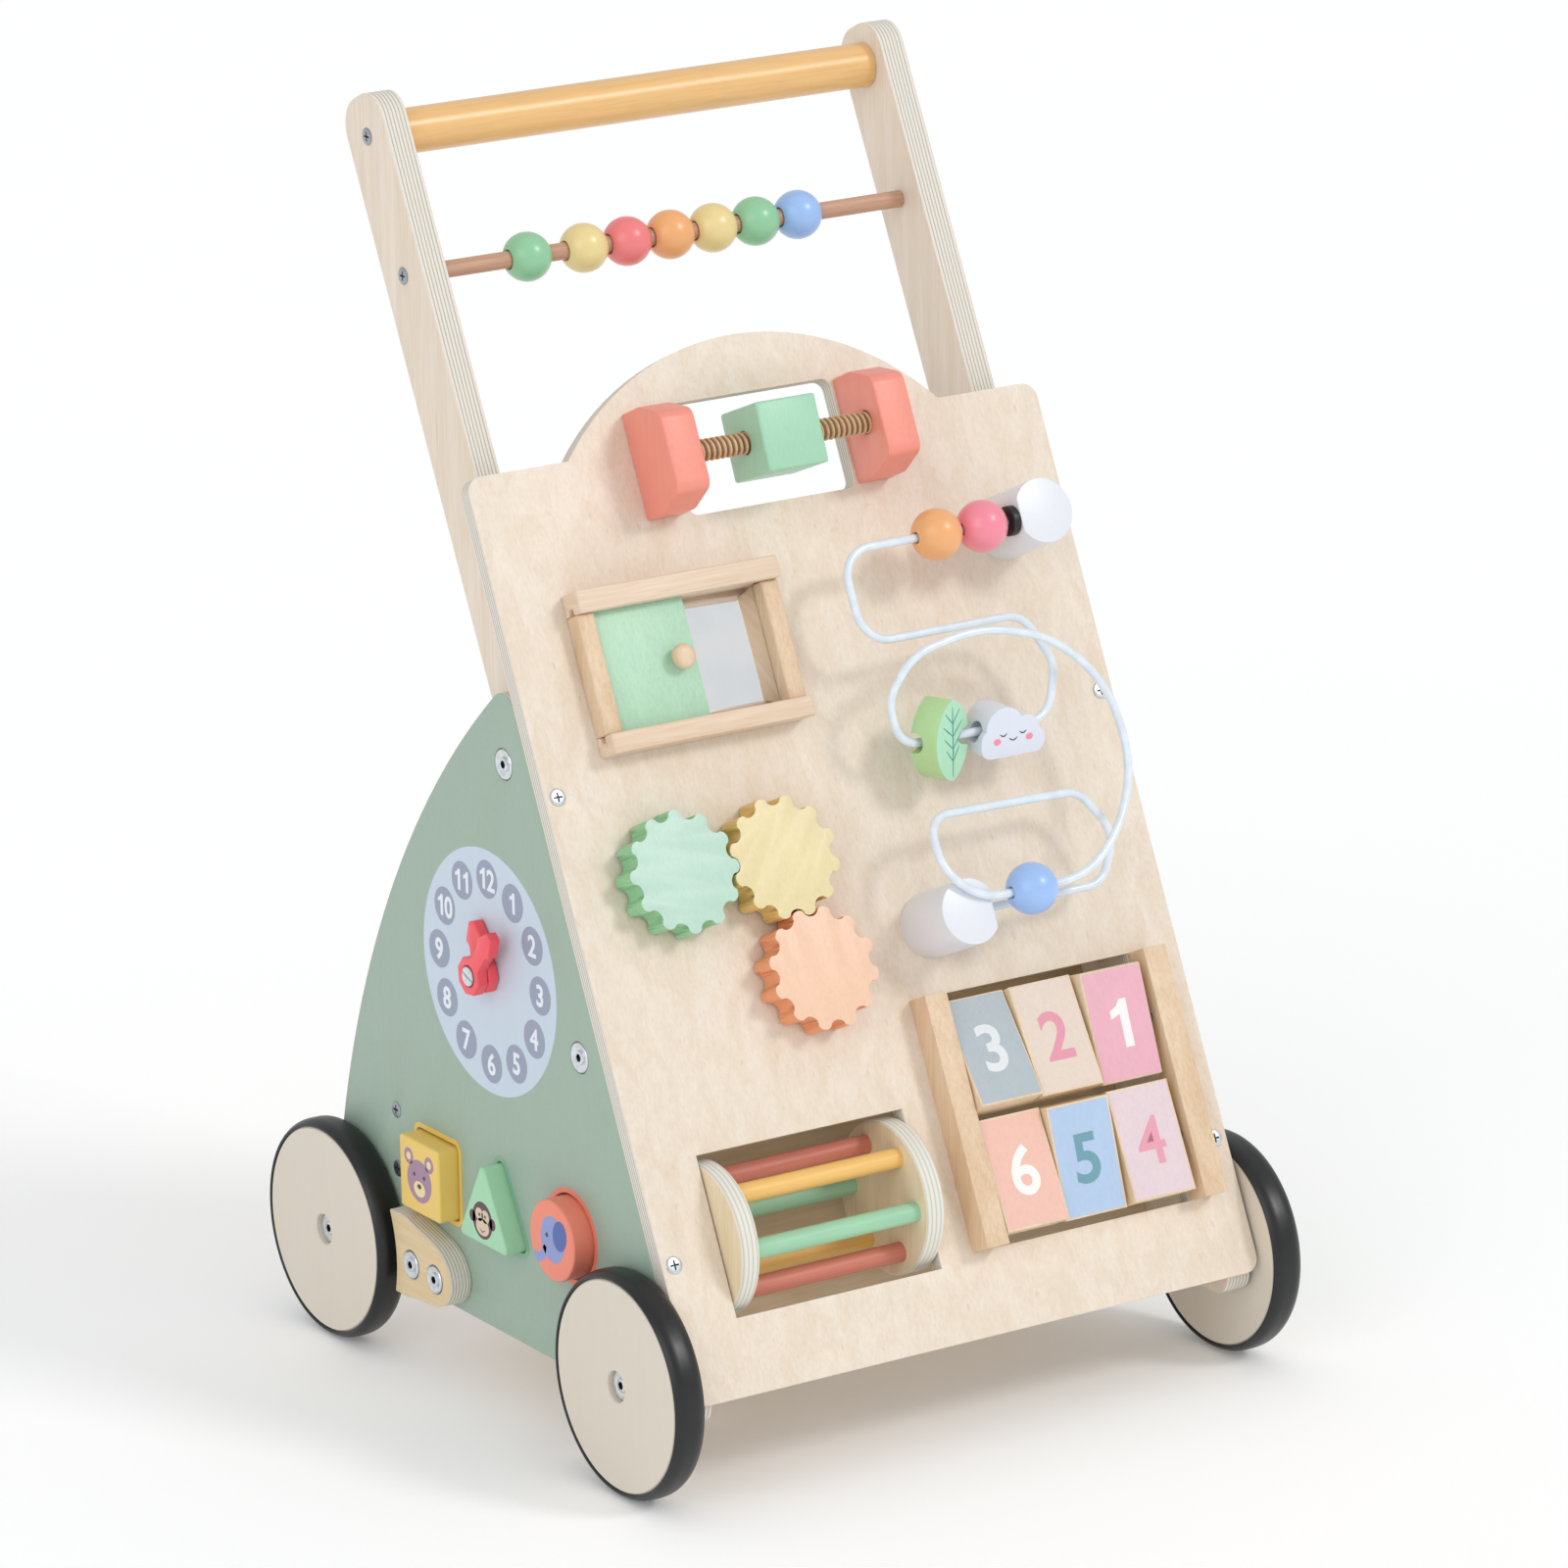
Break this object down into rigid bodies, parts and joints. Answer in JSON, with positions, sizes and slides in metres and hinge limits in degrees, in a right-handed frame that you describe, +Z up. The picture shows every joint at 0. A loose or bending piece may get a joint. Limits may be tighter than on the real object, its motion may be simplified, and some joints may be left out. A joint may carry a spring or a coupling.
{
  "type": "baby walker",
  "caption": "Wooden push-along baby walker with a sloping activity panel, grip bar, bead rod, four wheels and an open storage box behind.",
  "frame": {"origin": "on the ground under the middle of the wheelbase, centred across the width", "axes": "+Z up, -Y towards the activity panel's side (the front), +X to the right when looking at the panel"},
  "size_m": [0.2926, 0.3104, 0.5092],
  "materials": {
    "birch_ply": "fine straight grain under a thin matt lacquer; layered grey and white edges",
    "green_ply": "sage green matt paint on plywood, bare layered edges",
    "honey_varnish": "satin honey-coloured stain over turned wood",
    "beech": "bare sanded beech",
    "zinc": "bright zinc plating",
    "mirror_sheet": "acrylic safety mirror",
    "white_paint": "white satin paint",
    "wire_enamel": "pale blue-white gloss coating on bent steel wire",
    "black_washer": "black rubber",
    "salmon_paint": "salmon satin paint with faint grain",
    "mint_paint": "mint satin paint with faint grain",
    "green_paint": "soft green satin paint",
    "yellow_paint": "soft yellow satin paint",
    "orange_paint": "soft orange satin paint",
    "blue_paint": "soft blue satin paint",
    "pink_paint": "pink satin paint",
    "coral_paint": "coral satin paint",
    "dowel_paint": "matt stain on dowels: salmon, yellow and green",
    "red_plastic": "red moulded plastic",
    "block_print": "pastel painted face with a numeral, bare wood sides",
    "cream_paint": "cream matt paint",
    "tyre_rubber": "smooth black rubber"
  },
  "bodies": {
    "frame": {"front_panel": "birch_ply", "side_panel_left": "green_ply", "side_panel_right": "green_ply", "handle_posts": "birch_ply", "handle_bar": "honey_varnish", "abacus_rod": "beech", "inner_board": "birch_ply", "storage_boards": "birch_ply", "wheel_stops": "birch_ply", "zinc_bolts": "zinc", "wood_screws": "zinc", "vise_blocks": "salmon_paint", "door_frame": "beech", "mirror": "mirror_sheet", "steel_pins": "zinc", "drum_bearings": "birch_ply", "maze_posts": "white_paint", "maze_wire": "wire_enamel", "maze_washer": "black_washer", "block_strips": "beech"},
    "wheel_front_left": {"wheel_disc_front_left": "cream_paint", "tyre_front_left": "tyre_rubber"},
    "wheel_rear_left": {"wheel_disc_rear_left": "cream_paint", "tyre_rear_left": "tyre_rubber"},
    "wheel_front_right": {"wheel_disc_front_right": "cream_paint", "tyre_front_right": "tyre_rubber"},
    "wheel_rear_right": {"wheel_disc_rear_right": "cream_paint", "tyre_rear_right": "tyre_rubber"},
    "abacus_bead_coral": {"abacus_bead_coral": "salmon_paint"},
    "abacus_bead_yellow_left": {"abacus_bead_yellow_left": "yellow_paint"},
    "abacus_bead_green_left": {"abacus_bead_green_left": "green_paint"},
    "abacus_bead_orange": {"abacus_bead_orange": "orange_paint"},
    "abacus_bead_yellow_right": {"abacus_bead_yellow_right": "yellow_paint"},
    "abacus_bead_green_right": {"abacus_bead_green_right": "green_paint"},
    "abacus_bead_blue": {"abacus_bead_blue": "blue_paint"},
    "threaded_rod": {"threaded_rod": "beech"},
    "nut_cube": {"nut_cube": "mint_paint"},
    "door": {"sliding_door": "mint_paint", "door_knob": "beech"},
    "gear_green": {"gear_green": "mint_paint"},
    "gear_yellow": {"gear_yellow": "yellow_paint"},
    "gear_orange": {"gear_orange": "orange_paint"},
    "maze_bead_pink": {"maze_bead_pink": "pink_paint"},
    "maze_bead_orange": {"maze_bead_orange": "orange_paint"},
    "maze_bead_blue": {"maze_bead_blue": "blue_paint"},
    "maze_leaf": {"maze_leaf": "mint_paint"},
    "maze_cloud": {"maze_cloud": "white_paint"},
    "drum": {"drum_discs": "birch_ply", "drum_dowels": "dowel_paint"},
    "number_block_3": {"number_block_3": "block_print"},
    "number_block_2": {"number_block_2": "block_print"},
    "number_block_1": {"number_block_1": "block_print"},
    "number_block_6": {"number_block_6": "block_print"},
    "number_block_5": {"number_block_5": "block_print"},
    "number_block_4": {"number_block_4": "block_print"},
    "hour_hand": {"hour_hand": "red_plastic"},
    "minute_hand": {"minute_hand": "red_plastic"},
    "shape_square": {"shape_square": "yellow_paint"},
    "shape_triangle": {"shape_triangle": "mint_paint"},
    "shape_circle": {"shape_circle": "coral_paint"}
  },
  "joints": [
    {"name": "wheel_front_left_spin", "type": "hinge", "parent": "frame", "child": "wheel_front_left", "pos_m": [-0.1398, -0.11025, 0.045], "axis": [1, 0, 0], "continuous": true},
    {"name": "wheel_rear_left_spin", "type": "hinge", "parent": "frame", "child": "wheel_rear_left", "pos_m": [-0.1398, 0.11025, 0.045], "axis": [1, 0, 0], "continuous": true},
    {"name": "wheel_front_right_spin", "type": "hinge", "parent": "frame", "child": "wheel_front_right", "pos_m": [0.1398, -0.11025, 0.045], "axis": [1, 0, 0], "continuous": true},
    {"name": "wheel_rear_right_spin", "type": "hinge", "parent": "frame", "child": "wheel_rear_right", "pos_m": [0.1398, 0.11025, 0.045], "axis": [1, 0, 0], "continuous": true},
    {"name": "abacus_bead_coral_slide", "type": "slide", "parent": "frame", "child": "abacus_bead_coral", "axis": [1, 0, 0], "range_m": [-0.01, 0]},
    {"name": "abacus_bead_yellow_left_slide", "type": "slide", "parent": "abacus_bead_coral", "child": "abacus_bead_yellow_left", "axis": [1, 0, 0], "range_m": [-0.01, 0]},
    {"name": "abacus_bead_green_left_slide", "type": "slide", "parent": "abacus_bead_yellow_left", "child": "abacus_bead_green_left", "axis": [1, 0, 0], "range_m": [-0.014, 0.006]},
    {"name": "abacus_bead_orange_slide", "type": "slide", "parent": "frame", "child": "abacus_bead_orange", "axis": [1, 0, 0], "range_m": [0, 0.0095]},
    {"name": "abacus_bead_yellow_right_slide", "type": "slide", "parent": "abacus_bead_orange", "child": "abacus_bead_yellow_right", "axis": [1, 0, 0], "range_m": [0, 0.0095]},
    {"name": "abacus_bead_green_right_slide", "type": "slide", "parent": "abacus_bead_yellow_right", "child": "abacus_bead_green_right", "axis": [1, 0, 0], "range_m": [0, 0.0095]},
    {"name": "abacus_bead_blue_slide", "type": "slide", "parent": "abacus_bead_green_right", "child": "abacus_bead_blue", "axis": [1, 0, 0], "range_m": [0, 0.0095]},
    {"name": "thread_turn", "type": "hinge", "parent": "frame", "child": "threaded_rod", "pos_m": [0, -0.01145, 0.37514], "axis": [1, 0, 0], "range_deg": [-3150, 3924]},
    {"name": "nut_travel", "type": "slide", "parent": "threaded_rod", "child": "nut_cube", "axis": [1, 0, 0], "range_m": [-0.0219, 0.0273]},
    {"name": "door_slide", "type": "slide", "parent": "frame", "child": "door", "axis": [1, 0, 0], "range_m": [0, 0.0343]},
    {"name": "gear_green_spin", "type": "hinge", "parent": "frame", "child": "gear_green", "pos_m": [-0.0876, -0.06276, 0.22496], "axis": [0, -0.9089, 0.4171], "continuous": true},
    {"name": "gear_yellow_spin", "type": "hinge", "parent": "frame", "child": "gear_yellow", "pos_m": [-0.0427, -0.06372, 0.22287], "axis": [0, -0.9089, 0.4171], "continuous": true},
    {"name": "gear_orange_spin", "type": "hinge", "parent": "frame", "child": "gear_orange", "pos_m": [-0.0377, -0.08241, 0.18215], "axis": [0, -0.9089, 0.4171], "continuous": true},
    {"name": "maze_bead_pink_slide", "type": "slide", "parent": "frame", "child": "maze_bead_pink", "axis": [1, 0, 0], "range_m": [-0.0105, 0.0008]},
    {"name": "maze_bead_orange_slide", "type": "slide", "parent": "maze_bead_pink", "child": "maze_bead_orange", "axis": [1, 0, 0], "range_m": [-0.0105, 0.0005]},
    {"name": "maze_bead_blue_slide", "type": "slide", "parent": "frame", "child": "maze_bead_blue", "axis": [1, 0, 0], "range_m": [-0.0028, 0.0026]},
    {"name": "maze_leaf_swing", "type": "hinge", "parent": "frame", "child": "maze_leaf", "pos_m": [0.0335, -0.06968, 0.26125], "axis": [0.9982, 0.0547, -0.0251], "continuous": true},
    {"name": "maze_cloud_swing", "type": "hinge", "parent": "frame", "child": "maze_cloud", "pos_m": [0.0643, -0.06799, 0.26048], "axis": [0.9982, 0.0547, -0.0251], "continuous": true},
    {"name": "drum_spin", "type": "hinge", "parent": "frame", "child": "drum", "pos_m": [-0.058, -0.10653, 0.09409], "axis": [1, 0, 0], "continuous": true},
    {"name": "number_block_3_spin", "type": "hinge", "parent": "frame", "child": "number_block_3", "pos_m": [0.0293, -0.10553, 0.14303], "axis": [1, 0, 0], "continuous": true},
    {"name": "number_block_2_spin", "type": "hinge", "parent": "frame", "child": "number_block_2", "pos_m": [0.0591, -0.10553, 0.14303], "axis": [1, 0, 0], "continuous": true},
    {"name": "number_block_1_spin", "type": "hinge", "parent": "frame", "child": "number_block_1", "pos_m": [0.0901, -0.10553, 0.14303], "axis": [1, 0, 0], "continuous": true},
    {"name": "number_block_6_spin", "type": "hinge", "parent": "frame", "child": "number_block_6", "pos_m": [0.0293, -0.12546, 0.09958], "axis": [1, 0, 0], "continuous": true},
    {"name": "number_block_5_spin", "type": "hinge", "parent": "frame", "child": "number_block_5", "pos_m": [0.0591, -0.12546, 0.09958], "axis": [1, 0, 0], "continuous": true},
    {"name": "number_block_4_spin", "type": "hinge", "parent": "frame", "child": "number_block_4", "pos_m": [0.0901, -0.12546, 0.09958], "axis": [1, 0, 0], "continuous": true},
    {"name": "hour_hand_turn", "type": "hinge", "parent": "frame", "child": "hour_hand", "pos_m": [-0.137, -0.0018, 0.1798], "axis": [-1, 0, 0], "continuous": true},
    {"name": "minute_hand_turn", "type": "hinge", "parent": "frame", "child": "minute_hand", "pos_m": [-0.137, -0.0018, 0.1798], "axis": [-1, 0, 0], "continuous": true},
    {"name": "shape_square_pull", "type": "slide", "parent": "frame", "child": "shape_square", "axis": [-1, 0, 0], "range_m": [0, 0.02]},
    {"name": "shape_triangle_pull", "type": "slide", "parent": "frame", "child": "shape_triangle", "axis": [-1, 0, 0], "range_m": [0, 0.02]},
    {"name": "shape_circle_pull", "type": "slide", "parent": "frame", "child": "shape_circle", "axis": [-1, 0, 0], "range_m": [0, 0.02]}
  ],
  "couplings": [
    {"joint": "nut_travel", "follows": "thread_turn", "m_per_rad": 0.00039789},
    {"joint": "gear_yellow_spin", "follows": "gear_green_spin", "ratio": -1},
    {"joint": "gear_orange_spin", "follows": "gear_green_spin", "ratio": 1}
  ]
}
